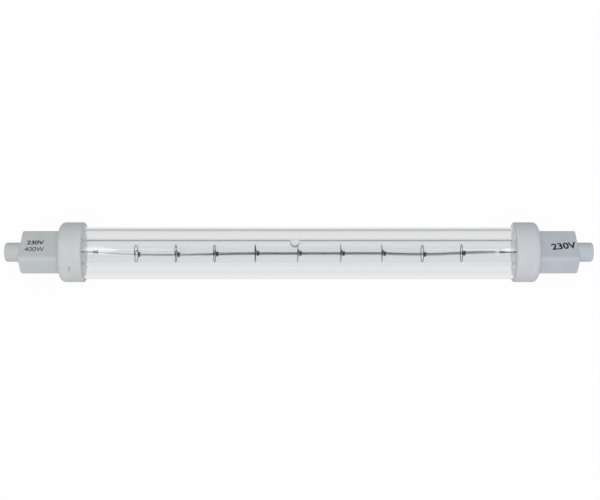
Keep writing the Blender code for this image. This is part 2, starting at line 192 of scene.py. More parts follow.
# How finely the shapes are made
GLASS_SIDES = 192
TUBE_SIDES = 256
CERAMIC_SIDES = 128
BORE_SIDES = 96
WIRE_SIDES = 24
ARC_STEPS = 10
SHOULDER_RINGS = 20
FLAT_RINGS = 24
FLAT_RINGS_FROM = 66.0 * MM
TIP_OFF_RINGS = 48
TAIL_STEPS = 12
COIL_STEPS_PER_TURN = 16
SUPPORT_STEPS_PER_TURN = 40
SLEEVE_RINGS = 16
DENT_SIDES = 32
SMOOTH_BELOW = math.radians(32.0)
MERGE_BELOW = 1e-7

# Colours, as linear light
WHITE = (1.0, 1.0, 1.0)
GLASS_TINT = (0.985, 0.988, 0.992)
# Painted tints: the left end's ceramics lean to green and the right end's to blue, standing in for the
# coloured light on each end
LEFT_COLLAR_COLOUR = (0.615, 0.64, 0.648)
RIGHT_COLLAR_COLOUR = (0.62, 0.63, 0.675)
# Painted light: the walls inside the cups are paler than the collars, the right one most, to lift the
# shade in the cups
LEFT_CUP_PAINTED_LIGHT_COLOUR = (0.88, 0.9, 0.91)
RIGHT_CUP_PAINTED_LIGHT_COLOUR = (0.97, 0.975, 0.985)
LEFT_CAP_COLOUR = (0.563, 0.595, 0.602)
RIGHT_CAP_COLOUR = (0.53, 0.57, 0.63)
INK_COLOUR = (0.012, 0.012, 0.014)
# Painted light: the coil's tungsten is far paler than the supports' tungsten, to lift the dark
# reflections on the coil
COIL_COLOUR = (0.45, 0.45, 0.47)
SUPPORT_COLOUR = (0.11, 0.11, 0.12)
MOLYBDENUM_COLOUR = (0.33, 0.33, 0.35)
NICKEL_COLOUR = (0.60, 0.58, 0.54)
CEMENT_COLOUR = (0.70, 0.68, 0.63)
FLOOR_DARK = (0.79, 0.79, 0.79)
FLOOR_PALE = (0.81, 0.81, 0.81)
FLOOR_THROUGH_GLASS = (0.98, 0.99, 1.0)

# How large and how deep the marks on the surfaces are
CERAMIC_CLOUD = 5.0 * MM
CERAMIC_GRAIN = 0.22 * MM
CERAMIC_GRAIN_DEPTH = 0.012 * MM
CERAMIC_WAVE = 2.6 * MM
CERAMIC_WAVE_DEPTH = 0.05 * MM
SPECK_SPACING = 1.4 * MM
QUARTZ_IOR = 1.458
DRAWN_LINE = 1.1 * MM
DRAWN_LINE_DEPTH = 0.0006 * MM
METAL_RELIEF = 0.004 * MM
TUNGSTEN_GRAIN = 0.08 * MM
MOLYBDENUM_GRAIN = 0.1 * MM
NICKEL_GRAIN = 0.15 * MM
CEMENT_GRIT = 0.35 * MM
CEMENT_GRIT_DEPTH = 0.08 * MM
CEMENT_STAIN = 2.2 * MM
INK_WEAR = 0.3 * MM
INK_WEAR_DEPTH = 0.01 * MM
FLOOR_MOTTLE = 60.0 * MM

# The floor: how white the camera sees it, and how bright it is through glass, near the lamp and far
FLOOR_SIZE = 8.0
CAMERA_WHITE = 0.9
CAMERA_WHITE_LEVEL = 1.03
FLOOR_NEAR = 40.0 * MM
FLOOR_NEAR_LEVEL = 0.85
FLOOR_FAR = 160.0 * MM
FLOOR_FAR_LEVEL = 0.35

# Light: the sky, the key from the camera's side, and a strip over each end
AMBIENT = 0.47
MIRRORED = 0.3
KEY_LEVEL = 0.49
KEY_ELEVATION = math.radians(48.0)
KEY_SPREAD = math.radians(40.0)
STRIP_ELEVATION = math.radians(64.0)
STRIP_DISTANCE = 500.0 * MM
STRIP_START = 110.0 * MM
STRIP_LENGTH = 160.0 * MM
STRIP_WIDTH = 50.0 * MM
STRIP_LEVEL = 3.0
LIGHT_BOUNCES = 32

# The camera, with its lens and sensor in millimetres, and the point that it looks at
CAMERA_ELEVATION = math.radians(47.0)
CAMERA_DISTANCE = 500.0 * MM
CAMERA_LENS = 79.97
CAMERA_SENSOR = 36.0
CAMERA_CLIP = 10.0 * MM
TARGET_RIGHT = 0.394 * MM
TARGET_UP = 0.82 * MM


# Shapes


def linked(name, data):
    obj = bpy.data.objects.new(name, data)
    bpy.context.scene.collection.objects.link(obj)
    return obj


def smoothed(mesh):
    mesh.shade_smooth()
    mesh.set_sharp_from_angle(angle=SMOOTH_BELOW)
    return mesh


def mesh_object(name, shape):
    """Turns a finished bmesh into an object, smooth over its round sides."""
    bmesh.ops.recalc_face_normals(shape, faces=shape.faces)
    mesh = bpy.data.meshes.new(name)
    shape.to_mesh(mesh)
    shape.free()
    return linked(name, smoothed(mesh))


def arc(centre_x, centre_radius, radius, start, end, steps=ARC_STEPS):
    """Profile points of a rounded edge, as (x, radius), from one angle to another in degrees."""
    points = []
    for step in range(steps + 1):
        angle = math.radians(start + (end - start) * step / steps)
        points.append(
            (centre_x + radius * math.cos(angle), centre_radius + radius * math.sin(angle))
        )
    return points


def turned(name, profile, sides, closed=False):
    """A body turned about the X axis. A closed profile is the section of a ring."""
    shape = bmesh.new()
    verts = [shape.verts.new((x, 0.0, radius)) for x, radius in profile]
    edges = [shape.edges.new(pair) for pair in zip(verts, verts[1:])]
    if closed:
        edges.append(shape.edges.new((verts[-1], verts[0])))
    bmesh.ops.spin(
        shape,
        geom=verts + edges,
        cent=(0.0, 0.0, 0.0),
        axis=(1.0, 0.0, 0.0),
        angle=2 * math.pi,
        steps=sides,
        use_merge=True,
    )
    bmesh.ops.remove_doubles(shape, verts=shape.verts, dist=MERGE_BELOW)
    return mesh_object(name, shape)


def joined(shape, row, following):
    """Faces between two rings of as many vertices."""
    for index in range(len(row)):
        after = (index + 1) % len(row)
        shape.faces.new((row[index], row[after], following[after], following[index]))


def skinned(shape, rings):
    """Faces over rings of as many points each. Returns the rings' vertices."""
    rows = [[shape.verts.new(point) for point in ring] for ring in rings]
    for row, following in zip(rows, rows[1:]):
        joined(shape, row, following)
    return rows


def bar(name, rings):
    """A solid skinned over rings and closed at both ends."""
    shape = bmesh.new()
    rows = skinned(shape, rings)
    shape.faces.new(rows[0])
    shape.faces.new(rows[-1])
    return mesh_object(name, shape)


def pipe(name, outside, inside):
    """An open tube skinned over the rings of its outside and of its bore."""
    shape = bmesh.new()
    outer_rows = skinned(shape, outside)
    inner_rows = skinned(shape, inside)
    for end in (0, -1):
        joined(shape, outer_rows[end], inner_rows[end])
    return mesh_object(name, shape)


def rectangle_ring(x, width, height, corner):
    """Points round a rectangle with round corners, square to the X axis."""
    ring = []
    for quarter in range(4):
        side_y = (1, -1, -1, 1)[quarter]
        side_z = (1, 1, -1, -1)[quarter]
        for step in range(ARC_STEPS + 1):
            angle = math.pi / 2 * (quarter + step / ARC_STEPS)
            y = side_y * (width / 2 - corner) + corner * math.cos(angle)
            z = side_z * (height / 2 - corner) + corner * math.sin(angle)
            ring.append(Vector((x, y, z)))
    return ring


def straight_bar(name, start_x, end_x, width, height, corner):
    return bar(name, [rectangle_ring(x, width, height, corner) for x in (start_x, end_x)])


def combine(obj, other, operation="DIFFERENCE"):
    """Joins or cuts an object by another, which is used up."""
    step = obj.modifiers.new("combine", "BOOLEAN")
    step.operation = operation
    step.object = other
    graph = bpy.context.evaluated_depsgraph_get()
    mesh = bpy.data.meshes.new_from_object(obj.evaluated_get(graph))
    obj.modifiers.clear()
    obj.data = smoothed(mesh)
    bpy.data.objects.remove(other, do_unlink=True)
    return obj


def to_left_end(obj):
    """Turns a piece made at the right end half round about Z, into the left end's place."""
    obj.data.transform(Matrix.Rotation(math.pi, 4, "Z"))
    return obj


def wire(name, points, diameter, roundness):
    """A wire along the points. Its section has 4 sides, and 2 more for each step of roundness."""
    curve = bpy.data.curves.new(name, "CURVE")
    curve.dimensions = "3D"
    curve.bevel_depth = diameter / 2
    curve.bevel_resolution = roundness
    curve.use_fill_caps = True
    curve.twist_mode = "MINIMUM"
    spline = curve.splines.new("POLY")
    spline.points.add(len(points) - 1)
    for control, point in zip(spline.points, points):
        control.co = (*point, 1.0)
    spline.use_smooth = True
    return linked(name, curve)


def eased(share):
    """Goes smoothly from 0 to 1 and stays there."""
    share = min(max(share, 0.0), 1.0)
    return share * share * (3 - 2 * share)


# Places worked out from the CAD nodes


def true_radius(node, sides=CAD_SIDES):
    """Radius of a turned node, whose flat sides face straight up and down."""
    low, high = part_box(node)
    return (high.z - low.z) / 2 / math.cos(math.pi / sides)


jacket_low, jacket_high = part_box("outer_jacket")
jacket_radius = true_radius("outer_jacket")
jacket_axis_z = (jacket_low.z + jacket_high.z) / 2
envelope_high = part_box("inner_envelope")[1]
tube_radius = envelope_high.y
collar_low, collar_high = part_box("right_collar")
collar_radius = true_radius("right_collar")
cup_radius = collar_radius - COLLAR_WALL
cap_low, cap_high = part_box("right_contact_cap")
contact_low, contact_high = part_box("right_contact")
contact_radius = true_radius("right_contact", CAD_CONTACT_SIDES)
sleeve_low, sleeve_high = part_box("right_crimp_sleeve")
lead_low, lead_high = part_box("right_inner_lead")
cup_floor_x = collar_low.x + COLLAR_CUP_DEPTH
seal_start_x = cup_floor_x + SEAL_SET_BACK
shoulder_start_x = seal_start_x - SHOULDER_LENGTH
block_end_x = cap_low.x + BLOCK_LENGTH
pocket_floor_x = block_end_x - BLOCK_FLOOR
sleeve_x = (sleeve_low.x + sleeve_high.x) / 2
coil_left_x = LEFT_TAIL - sleeve_x
coil_right_x = sleeve_x - RIGHT_TAIL
last_support_x = sleeve_x - SUPPORT_SET_BACK
floor_z = cad_low.z


# Glass


def jacket():
    """The clear outer tube, with melted edges."""
    outer = jacket_radius
    inner = outer - JACKET_WALL
    rounding = JACKET_END_ROUNDING
    edge_x = jacket_high.x - rounding
    profile = [
        *arc(edge_x, inner + rounding, rounding, -90, 0),
        *arc(edge_x, outer - rounding, rounding, 0, 90),
        *arc(-edge_x, outer - rounding, rounding, 90, 180),
        *arc(-edge_x, inner + rounding, rounding, 180, 270),
    ]
    obj = turned("jacket_glass", profile, GLASS_SIDES, closed=True)
    obj.data.transform(Matrix.Translation((0.0, 0.0, jacket_axis_z)))
    return obj


def rectangle_point(share, width, height, corner):
    """The point at a share of the way round a rounded rectangle, from +Y towards +Z."""
    flat_y = width - 2 * corner
    flat_z = height - 2 * corner
    turn = math.pi / 2 * corner
    length = share * 2 * (flat_y + flat_z + 2 * turn)
    y, z, heading = width / 2, 0.0, math.pi / 2
    for run, curved in (
        (flat_z / 2, False),
        (turn, True),
        (flat_y, False),
        (turn, True),
        (flat_z, False),
        (turn, True),
        (flat_y, False),
        (turn, True),
        (flat_z / 2, False),
    ):
        part = min(length, run)
        if curved:
            swept = part / corner
            y += corner * (math.sin(heading + swept) - math.sin(heading))
            z -= corner * (math.cos(heading + swept) - math.cos(heading))
            heading += swept
        else:
            y += part * math.cos(heading)
            z += part * math.sin(heading)
        length -= part
        if length <= 0:
            break
    return y, z


def tube_ring(x, radius, width, height, corner, sides):
    """A ring of the inner tube, round in the middle and pressed to a flat seal at the ends."""
    share = eased((abs(x) - shoulder_start_x) / SHOULDER_LENGTH)
    start, fade, depth = LEFT_FLAT if x < 0 else RIGHT_FLAT
    limit = radius - depth * eased((abs(x) - start) / fade)
    towards = Vector((0.0, -math.cos(FLAT_ELEVATION), math.sin(FLAT_ELEVATION)))
    ring = []
    for index in range(sides):
        turn = (index + 0.5) / sides
        angle = 2 * math.pi * turn
        flat_y, flat_z = rectangle_point(turn, width, height, corner)
        y = radius * math.cos(angle) * (1 - share) + flat_y * share
        z = radius * math.sin(angle) * (1 - share) + flat_z * share
        point = Vector((x, y, z))
        ring.append(point - towards * max(point.dot(towards) - limit, 0.0))
    return ring


def outside_ring(x, sides=TUBE_SIDES):
    return tube_ring(x, tube_radius, 2 * tube_radius, SEAL_THICKNESS, SEAL_CORNER, sides)


def bore_ring(x):
    bore = tube_radius - TUBE_WALL
    return tube_ring(x, bore, CHANNEL_WIDTH, CHANNEL_HEIGHT, CHANNEL_CORNER, TUBE_SIDES)


def tip_off_lift(point):
    """Raises a point of the tube's top into the low dome where the tube was sealed off."""
    point.rotate(Matrix.Rotation(-TIP_OFF_LEAN, 3, "X"))
    across = point.y - tube_radius * math.sin(TIP_OFF_LEAN - TIP_OFF_TILT)
    share = 1 - ((point.x - TIP_OFF_X) ** 2 + across**2) / TIP_OFF_RADIUS**2
    if point.z > 0 and share > 0:
        point.z += TIP_OFF_HEIGHT * share**TIP_OFF_FULLNESS
    point.rotate(Matrix.Rotation(TIP_OFF_LEAN, 3, "X"))


def stations(end_x):
    """Places of the rings along the inner tube: close together where its shape changes."""
    stops = {-end_x, end_x}
    for side in (-1, 1):
        for step in range(SHOULDER_RINGS + 1):
            stops.add(side * (shoulder_start_x + SHOULDER_LENGTH * step / SHOULDER_RINGS))
        for step in range(FLAT_RINGS):
            run = (shoulder_start_x - FLAT_RINGS_FROM) * step / FLAT_RINGS
            stops.add(side * (FLAT_RINGS_FROM + run))
    for step in range(TIP_OFF_RINGS + 1):
        stops.add(TIP_OFF_X + TIP_OFF_REACH * (2 * step / TIP_OFF_RINGS - 1))
    return sorted(stops)


def envelope():
    """The inner tube with its press seals, its bore and the tip where it was sealed off."""
    stops = stations(envelope_high.x)
    outside = [outside_ring(x) for x in stops]
    inside = [bore_ring(x) for x in stops]
    for ring in outside:
        for point in ring:
            tip_off_lift(point)
    return pipe("tube_glass", outside, inside)


# Filament and what holds it


def belly(x, centre, reach, depth):
    share = max(1 - ((x - centre) / reach) ** 2, 0.0)
    return depth * share * share


def droop(x):
    """How far the coil hangs below the axis, most in the middle of each half."""
    level = SAG * eased((sleeve_x - abs(x)) / (LEFT_TAIL if x < 0 else RIGHT_RUN))
    return level + belly(x, *LEFT_BELLY) + belly(x, *RIGHT_BELLY)


def looseness(x):
    """1 where the coil is wound loosely, 0 where it is tight."""
    at_left = 1 - eased((x - LEFT_LOOSE_TO_X) / LEFT_FADE)
    at_right = RIGHT_LOOSENESS * eased((x - coil_right_x) / RIGHT_FADE + 1)
    return max(at_left, at_right)


def filament():
    """One wire: a straight tail from the left sleeve, the coil, and a short tail at the right."""
    tail_end_x = sleeve_x - WIRE_GAP
    points = [Vector((-tail_end_x, 0.0, 0.0))]
    for step in range(1, TAIL_STEPS):
        x = -sleeve_x + (coil_left_x + sleeve_x) * step / TAIL_STEPS
        points.append(Vector((x, 0.0, -droop(x))))
    x = coil_left_x
    step = 0
    while x < coil_right_x:
        diameter = COIL_DIAMETER + (LOOSE_DIAMETER - COIL_DIAMETER) * looseness(x)
        pitch = COIL_PITCH + (LOOSE_PITCH - COIL_PITCH) * looseness(x)
        swell = min((x - coil_left_x) / COIL_PITCH, (coil_right_x - x) / COIL_PITCH, 1.0)
        radius = swell * (diameter - COIL_WIRE) / 2
        angle = 2 * math.pi * step / COIL_STEPS_PER_TURN
        y = radius * math.cos(angle)
        z = radius * math.sin(angle) - droop(x)
        points.append(Vector((x, y, z)))
        x += pitch / COIL_STEPS_PER_TURN
        step += 1
    points.append(Vector((tail_end_x, 0.0, 0.0)))
    return wire("filament_coil", points, COIL_WIRE, 1)


def support_points(x, lean):
    """The line of a support wire: tight turns, an arm that winds outwards, and a leaning loop."""
    grip_radius = COIL_DIAMETER / 2 + GRIP_GAP + SUPPORT_WIRE / 2
    loop_radius = tube_radius - TUBE_WALL - LOOP_PLAY - SUPPORT_WIRE / 2
    points = []

    def place(turn, radius, along, share):
        """Adds a point. Share is 0 on the turns, which follow the coil, and 1 on the loop."""
        angle = 2 * math.pi * turn
        spoke = Vector((0.0, radius * math.cos(angle), radius * math.sin(angle)))
        spoke.x = x + along + share * math.tan(lean) * spoke.dot(LEAN_ACROSS)
        spoke.z -= droop(x) * (1 - share) + min(droop(x), LOOP_PLAY - WIRE_GAP) * share
        points.append(spoke)

    for step in range(GRIP_TURNS * SUPPORT_STEPS_PER_TURN):
        turn = step / SUPPORT_STEPS_PER_TURN
        place(turn, grip_radius, GRIP_OFFSET + (GRIP_TURNS - turn) * GRIP_PITCH, 0.0)
    arm_steps = round(ARM_TURNS * SUPPORT_STEPS_PER_TURN)
    for step in range(arm_steps):
        share = step / arm_steps
        radius = grip_radius + (loop_radius - grip_radius) * eased(share)
        place(GRIP_TURNS + ARM_TURNS * share, radius, GRIP_OFFSET * (1 - share), share)
    loop_steps = round(LOOP_TURNS * SUPPORT_STEPS_PER_TURN)
    for step in range(loop_steps + 1):
        place(GRIP_TURNS + ARM_TURNS + LOOP_TURNS * step / loop_steps, loop_radius, 0.0, 1.0)
    return points


def supports():
    made = []
    spacing = 2 * last_support_x / (SUPPORT_COUNT - 1)
    for index in range(SUPPORT_COUNT):
        lean = math.radians(SUPPORT_LEANS[index])
        x = index * spacing - last_support_x + SUPPORT_DRIFTS[index] * MM
        made.append(
            wire(f"support_wire_{index + 1}", support_points(x, lean), SUPPORT_WIRE, 2)
        )
    return made


def sleeve(name):
    """A short tube crimped flat in its middle over the ends of the lead and the filament's tail."""
    outer = (sleeve_high.z - sleeve_low.z) / 2
    inner = outer - SLEEVE_WALL
    length = sleeve_high.x - sleeve_low.x
    outside = []
    inside = []
    for step in range(SLEEVE_RINGS + 1):
        share = step / SLEEVE_RINGS
        pinch = (SLEEVE_END_FLAT - SLEEVE_FLAT) * math.sin(math.pi * share) ** 2
        for rings, radius, flat in (
            (outside, outer, SLEEVE_END_FLAT - pinch),
            (inside, inner, SLEEVE_FLAT),
        ):
            ring = []
            for index in range(WIRE_SIDES * 2):
                angle = math.pi * (index + 0.5) / WIRE_SIDES
                z = max(min(radius * math.sin(angle), radius * flat), -radius * flat)
                ring.append(
                    Vector((sleeve_low.x + length * share, radius * math.cos(angle), z))
                )
            rings.append(ring)
    obj = pipe(name, outside, inside)
    obj.data.transform(Matrix.Rotation(SLEEVE_TURN, 4, "X"))
    return obj


def inner_lead(name):
    """The wire that shows between a sleeve and a seal, with rounded ends."""
    radius = VISIBLE_LEAD / 2
    rounding = LEAD_ROUNDING
    profile = [
        (lead_low.x, 0.0),
        *arc(lead_low.x + rounding, radius - rounding, rounding, 180, 90, steps=3),
        *arc(lead_high.x - rounding, radius - rounding, rounding, 90, 0, steps=3),
        (lead_high.x, 0.0),
    ]
    return turned(name, profile, WIRE_SIDES)


# Ceramics and contacts


def collar(name):
    """A turned cup whose floor has a slot for the seal."""
    rim = COLLAR_RIM_ROUNDING
    back = COLLAR_BACK_ROUNDING
    profile = [
        (cup_floor_x, 0.0),
        *arc(cup_floor_x - CUP_CORNER, cup_radius - CUP_CORNER, CUP_CORNER, 0, 90, steps=4),
        *arc(collar_low.x + CUP_EDGE, cup_radius + CUP_EDGE, CUP_EDGE, 270, 180, steps=2),
        *arc(collar_low.x + rim, collar_radius - rim, rim, 180, 90),
        *arc(collar_high.x - back, collar_radius - back, back, 90, 0),
        (collar_high.x, 0.0),
    ]
    obj = turned(name, profile, CERAMIC_SIDES)
    seal_top = max(point.z for point in outside_ring(cup_floor_x, GLASS_SIDES))
    slot_height = 2 * (seal_top + FIT_GAP)
    slot = straight_bar(
        "slot", cup_floor_x - MM, collar_high.x + MM, SLOT_WIDTH, slot_height, POCKET_CORNER
    )
    return combine(obj, slot)


def contact_cap(name):
    """A ceramic block with rounded edges and a round tip, hollow for the seal and the contact."""
    width = cap_high.y - cap_low.y
    height = cap_high.z - cap_low.z
    rings = [rectangle_ring(cap_low.x, width, height, BLOCK_CORNER)]
    for step in range(ARC_STEPS + 1):
        angle = math.pi / 2 * step / ARC_STEPS
        inset = BLOCK_END_ROUNDING * (1 - math.cos(angle))
        x = block_end_x - BLOCK_END_ROUNDING * (1 - math.sin(angle))
        rings.append(
            rectangle_ring(x, width - 2 * inset, height - 2 * inset, BLOCK_CORNER - inset)
        )
    obj = bar(name, rings)
    radius = TIP_DIAMETER / 2
    tip_start_x = block_end_x - BLOCK_FLOOR / 2
    tip = turned(
        "tip",
        [
            (tip_start_x, 0.0),
            (tip_start_x, radius + TIP_FILLET),
            *arc(block_end_x + TIP_FILLET, radius + TIP_FILLET, TIP_FILLET, 180, 270, steps=5),
            *arc(cap_high.x - TIP_ROUNDING, radius - TIP_ROUNDING, TIP_ROUNDING, 90, 0),
            (cap_high.x, 0.0),
        ],
        CERAMIC_SIDES,
    )
    combine(obj, tip, "UNION")
    pocket = straight_bar(
        "pocket", cap_low.x - MM, pocket_floor_x, POCKET_WIDTH, POCKET_HEIGHT, POCKET_CORNER
    )
    combine(obj, pocket)
    recess = RECESS_DIAMETER / 2
    bore = SHANK_BORE / 2
    recess_x = cap_high.x - RECESS_DEPTH
    hole = turned(
        "hole",
        [
            (pocket_floor_x - MM, 0.0),
            (pocket_floor_x - MM, bore),
            (recess_x, bore),
            (recess_x, recess),
            (cap_high.x - RECESS_LIP, recess),
            *arc(cap_high.x - RECESS_LIP, recess + RECESS_LIP, RECESS_LIP, 270, 360, steps=4),
            (cap_high.x + MM, recess + RECESS_LIP),
            (cap_high.x + MM, 0.0),
        ],
        BORE_SIDES,
    )
    return combine(obj, hole)


def dent(obj, x, elevation, length, depth):
    """Cuts a short groove into the outside of a collar."""
    shape = bmesh.new()
    bmesh.ops.create_uvsphere(
        shape, u_segments=DENT_SIDES, v_segments=DENT_SIDES // 2, radius=1.0
    )
    bmesh.ops.scale(shape, vec=(DENT_WIDTH / 2, length / 2, depth), verts=shape.verts)
    bmesh.ops.translate(shape, vec=(0.0, 0.0, collar_radius), verts=shape.verts)
    cutter = mesh_object("dent", shape)
    cutter.data.transform(Matrix.Rotation(math.pi / 2 - elevation, 4, "X"))
    cutter.data.transform(Matrix.Translation((x, 0.0, 0.0)))
    return combine(obj, cutter)


def contact(name):
    """A metal button, slightly domed, with turning marks and a shank behind it."""
    back_x = contact_high.x - CONTACT_THICKNESS
    shank = SHANK_DIAMETER / 2
    hole = SHANK_HOLE_DIAMETER / 2
    hole_end_x = contact_low.x + SHANK_HOLE_DEPTH
    rounding = CONTACT_ROUNDING
    edge_x = contact_high.x - CONTACT_CROWN - rounding
    crown = []
    for step in range(TURNING_MARKS):
        share = CROWN_SHARE * (TURNING_MARKS - step) / TURNING_MARKS
        x = contact_high.x - CONTACT_CROWN * share**2 - TURNING_MARK_DEPTH * (step % 2)
        crown.append((x, contact_radius * share))
    profile = [
        (hole_end_x, 0.0),
        (hole_end_x, hole),
        (contact_low.x, hole),
        (contact_low.x, shank),
        (back_x, shank),
        (back_x, contact_radius),
        *arc(edge_x, contact_radius - rounding, rounding, 90, 20, steps=5),
        *crown,
        (contact_high.x, 0.0),
    ]
    return turned(name, profile, BORE_SIDES)


def mark(words, centre, width, height, turn, weight):
    """Printed figures on the upper flat of a cap. Text of any size is fitted into a thin layer."""
    font = bpy.data.curves.new("mark", "FONT")
    font.body = words
    font.size = 1.0
    font.offset = weight
    font.extrude = 0.5
    text = linked("mark", font)
    mesh = bpy.data.meshes.new_from_object(text)
    bpy.data.objects.remove(text, do_unlink=True)
    corners = [vert.co.copy() for vert in mesh.vertices]
    low = Vector([min(corner[axis] for corner in corners) for axis in range(3)])
    high = Vector([max(corner[axis] for corner in corners) for axis in range(3)])
    span = high - low
    mesh.transform(Matrix.Translation(-(low + high) / 2))
    mesh.transform(Matrix.Diagonal((width / span.x, height / span.y, INK_THICKNESS / span.z, 1.0)))
    mesh.transform(Matrix.Rotation(turn, 4, "Z"))
    mesh.transform(Matrix.Translation((*centre, cap_high.z)))
    return linked("print_" + words, mesh)


# Materials


def add(tree, kind, inputs=(), **settings):
    """A shader node with its settings, and its inputs as plain values or as sockets to link."""
    made = tree.nodes.new("ShaderNode" + kind)
    for name, value in settings.items():
        setattr(made, name, value)
    for name, value in dict(inputs).items():
        if isinstance(value, bpy.types.NodeSocket):
            tree.links.new(value, made.inputs[name])
        else:
            made.inputs[name].default_value = value
    return made


def new_material(name):
    material = bpy.data.materials.new(name)
    material.use_nodes = True
    return material, material.node_tree, material.node_tree.nodes["Principled BSDF"]


def places(tree, stretch=(1.0, 1.0, 1.0)):
    """Positions on the object, stretched along the axes."""
    coordinates = add(tree, "TexCoord")
    mapping = add(tree, "Mapping", {"Vector": coordinates.outputs["Object"], "Scale": stretch})
    return mapping.outputs["Vector"]


def distance_along(tree, where, axis):
    """How far a position lies from the origin along one axis."""
    parts = add(tree, "SeparateXYZ", {0: where})
    return add(tree, "Math", {0: parts.outputs[axis]}, operation="ABSOLUTE").outputs[0]


def noise(tree, where, size, detail=2.0, roughness=0.5):
    """Soft random variation with features of about this size in metres."""
    made = add(
        tree,
        "TexNoise",
        {"Vector": where, "Scale": 1 / size, "Detail": detail, "Roughness": roughness},
    )
    return made.outputs["Fac"]


def ranged(tree, value, low, high, from_low=0.3, from_high=0.7):
    """Carries a value from one range to another, and holds it at the ends."""
    made = add(
        tree,
        "MapRange",
        {"Value": value, "From Min": from_low, "From Max": from_high, "To Min": low, "To Max": high},
    )
    return made.outputs["Result"]


def larger(tree, a, b):
    return add(tree, "Math", {0: a, 1: b}, operation="MAXIMUM").outputs[0]


def opaque(colour):
    """A plain colour with its fourth value. A socket stays as it is."""
    return (*colour, 1.0) if isinstance(colour, tuple) else colour


def scaled(colour, factor):
    return tuple(min(channel * factor, 1.0) for channel in colour)


def mixed(tree, share, a, b):
    """One colour going over to another as share goes from 0 to 1."""
    made = add(tree, "Mix", {0: share, 6: opaque(a), 7: opaque(b)}, data_type="RGBA")
    return made.outputs[2]


def mixed_shaders(tree, share, a, b):
    """One shader going over to another as share goes from 0 to 1."""
    return add(tree, "MixShader", {0: share, 1: a, 2: b}).outputs["Shader"]


def relief(tree, height, depth, below=None):
    """A bump of this depth in metres, on top of another one if it is given."""
    made = add(tree, "Bump", {"Height": height, "Distance": depth, "Strength": 1.0})
    if below is not None:
        tree.links.new(below, made.inputs["Normal"])
    return made.outputs["Normal"]


def inside_cup(tree, where):
    """1 on the wall of a collar's cup, where painted light is laid on, 0 on the rest of the collar."""
    across = places(tree, (0.0, 1.0, 1.0))
    radius = add(tree, "VectorMath", {0: across}, operation="LENGTH").outputs["Value"]
    within = ranged(tree, radius, 1.0, 0.0, cup_radius + 0.02 * MM, cup_radius + 0.12 * MM)
    out = distance_along(tree, where, "X")
    return ranged(tree, out, within, 0.0, cup_floor_x + 0.1 * MM, cup_floor_x + 0.4 * MM)


def ceramic(name, colour, cup_painted_light_colour=None):
    """Fired ceramic: faintly clouded, finely grained, with a few dark specks. Painted light makes the
    cups paler inside.
    """
    material, tree, shader = new_material(name)
    where = places(tree)
    cloud = noise(tree, where, CERAMIC_CLOUD, 3.0)
    grain = noise(tree, where, CERAMIC_GRAIN)
    clouded = mixed(tree, ranged(tree, cloud, 0.0, 1.0), scaled(colour, 0.965), scaled(colour, 1.03))
    fine = mixed(tree, ranged(tree, grain, 0.0, 0.16), clouded, scaled(colour, 0.8))
    cells = add(tree, "TexVoronoi", {"Vector": where, "Scale": 1 / SPECK_SPACING})
    specks = ranged(tree, cells.outputs["Distance"], 1.0, 0.0, 0.03, 0.09)
    toned = mixed(tree, specks, fine, scaled(colour, 0.6))
    # Painted light: the walls inside the cups take a paler colour that lifts the shade in them
    if cup_painted_light_colour:
        painted_light_in_cup = mixed(tree, ranged(tree, cloud, 0.0, 1.0), scaled(cup_painted_light_colour, 0.97), cup_painted_light_colour)
        toned = mixed(tree, inside_cup(tree, where), toned, painted_light_in_cup)
    tree.links.new(toned, shader.inputs["Base Color"])
    tree.links.new(ranged(tree, grain, 0.42, 0.6), shader.inputs["Roughness"])
    wavy = relief(tree, noise(tree, where, CERAMIC_WAVE, 1.0), CERAMIC_WAVE_DEPTH)
    tree.links.new(relief(tree, grain, CERAMIC_GRAIN_DEPTH, wavy), shader.inputs["Normal"])
    return material


def quartz(name):
    """Clear quartz with faint lines along it from drawing. Light passes to what is inside it."""
    material, tree, shader = new_material(name)
    along = places(tree, (0.02, 1.0, 1.0))
    lines = noise(tree, along, DRAWN_LINE)
    shade = mixed(tree, ranged(tree, lines, 0.0, 1.0), scaled(GLASS_TINT, 0.99), GLASS_TINT)
    tree.links.new(shade, shader.inputs["Base Color"])
    shader.inputs["Roughness"].default_value = 0.0
    shader.inputs["IOR"].default_value = QUARTZ_IOR
    shader.inputs["Transmission Weight"].default_value = 1.0
    tree.links.new(relief(tree, lines, DRAWN_LINE_DEPTH), shader.inputs["Normal"])
    path = add(tree, "LightPath")
    clear = add(tree, "BsdfTransparent", {"Color": opaque(WHITE)})
    blend = mixed_shaders(
        tree, path.outputs["Is Shadow Ray"], shader.outputs["BSDF"], clear.outputs["BSDF"]
    )
    tree.links.new(blend, tree.nodes["Material Output"].inputs["Surface"])
    return material


def metal(name, colour, rough_low, rough_high, grain_size, stretch=(1.0, 1.0, 1.0)):
    """Bare metal with drawing or turning marks, dulled in places."""
    material, tree, shader = new_material(name)
    where = places(tree, stretch)
    grain = noise(tree, where, grain_size, 3.0)
    cloud = noise(tree, where, grain_size * 9)
    toned = mixed(tree, ranged(tree, cloud, 0.0, 1.0), scaled(colour, 0.85), scaled(colour, 1.1))
    tree.links.new(toned, shader.inputs["Base Color"])
    tree.links.new(ranged(tree, grain, rough_low, rough_high), shader.inputs["Roughness"])
    shader.inputs["Metallic"].default_value = 1.0
    tree.links.new(relief(tree, grain, METAL_RELIEF), shader.inputs["Normal"])
    return material


